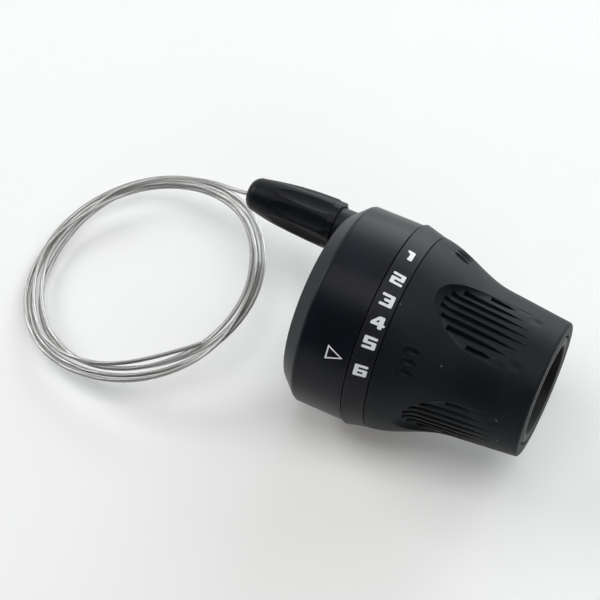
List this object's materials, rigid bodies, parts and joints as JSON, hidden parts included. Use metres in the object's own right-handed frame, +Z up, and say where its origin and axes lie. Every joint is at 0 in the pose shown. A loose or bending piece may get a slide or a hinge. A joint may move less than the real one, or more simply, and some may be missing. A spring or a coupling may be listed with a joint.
{
  "type": "twist grip shifter",
  "caption": "Bicycle twist grip shifter: a ribbed rubber grip with a number ring turns on a clamped housing and winds a coiled gear cable through a barrel adjuster",
  "frame": {"origin": "On the handlebar's axis, at the housing's inboard face, where the bar clamp begins", "axes": "+X runs along the handlebar towards its free end, +Y forwards, away from the rider, and +Z up"},
  "size_m": [0.1396, 0.0662, 0.0518],
  "materials": {
    "housing": "satin black moulding",
    "number_ring": "matte black moulding",
    "inner_plastic": "plain black moulding",
    "knob": "matte black moulding",
    "grip_rubber": "matte charcoal rubber",
    "black_steel": "blackened steel",
    "bright_steel": "plain spring steel",
    "brass": "turned brass",
    "cable": "galvanised steel strand"
  },
  "bodies": {
    "housing_body": {"housing": "housing", "clamp_screw": "black_steel", "clamp_insert": "brass", "clamp_shoe": "bright_steel", "retaining_ring": "bright_steel", "detent_spring": "bright_steel", "cable_guide": "inner_plastic", "wire_in_guide": "cable", "adjuster_spring": "bright_steel", "cable_lead": "cable", "cable_hank": "cable"},
    "grip": {"grip_sleeve": "inner_plastic", "number_ring": "number_ring", "grip_rubber": "grip_rubber", "cable_drum": "inner_plastic", "cable_head": "cable", "wire_on_drum": "cable"},
    "washer": {"click_washer": "bright_steel"},
    "adjuster": {"adjuster_knob": "knob", "adjuster_bolt": "bright_steel"}
  },
  "joints": [
    {"name": "grip_twist", "type": "hinge", "parent": "housing_body", "child": "grip", "pos_m": [0, 0, 0], "axis": [1, 0, 0], "range_deg": [0, 69.6], "deforming": ["detent_spring"]},
    {"name": "adjuster_travel", "type": "slide", "parent": "housing_body", "child": "washer", "axis": [1, 0, 0], "range_m": [-0.0024, 0.002], "deforming": ["adjuster_spring"]},
    {"name": "adjuster_turn", "type": "hinge", "parent": "washer", "child": "adjuster", "pos_m": [0, 0.01762, 0.00487], "axis": [1, 0, 0], "range_deg": [-1081, 901]}
  ],
  "couplings": [
    {"joint": "adjuster_turn", "follows": "adjuster_travel", "rad_per_m": 7854}
  ]
}
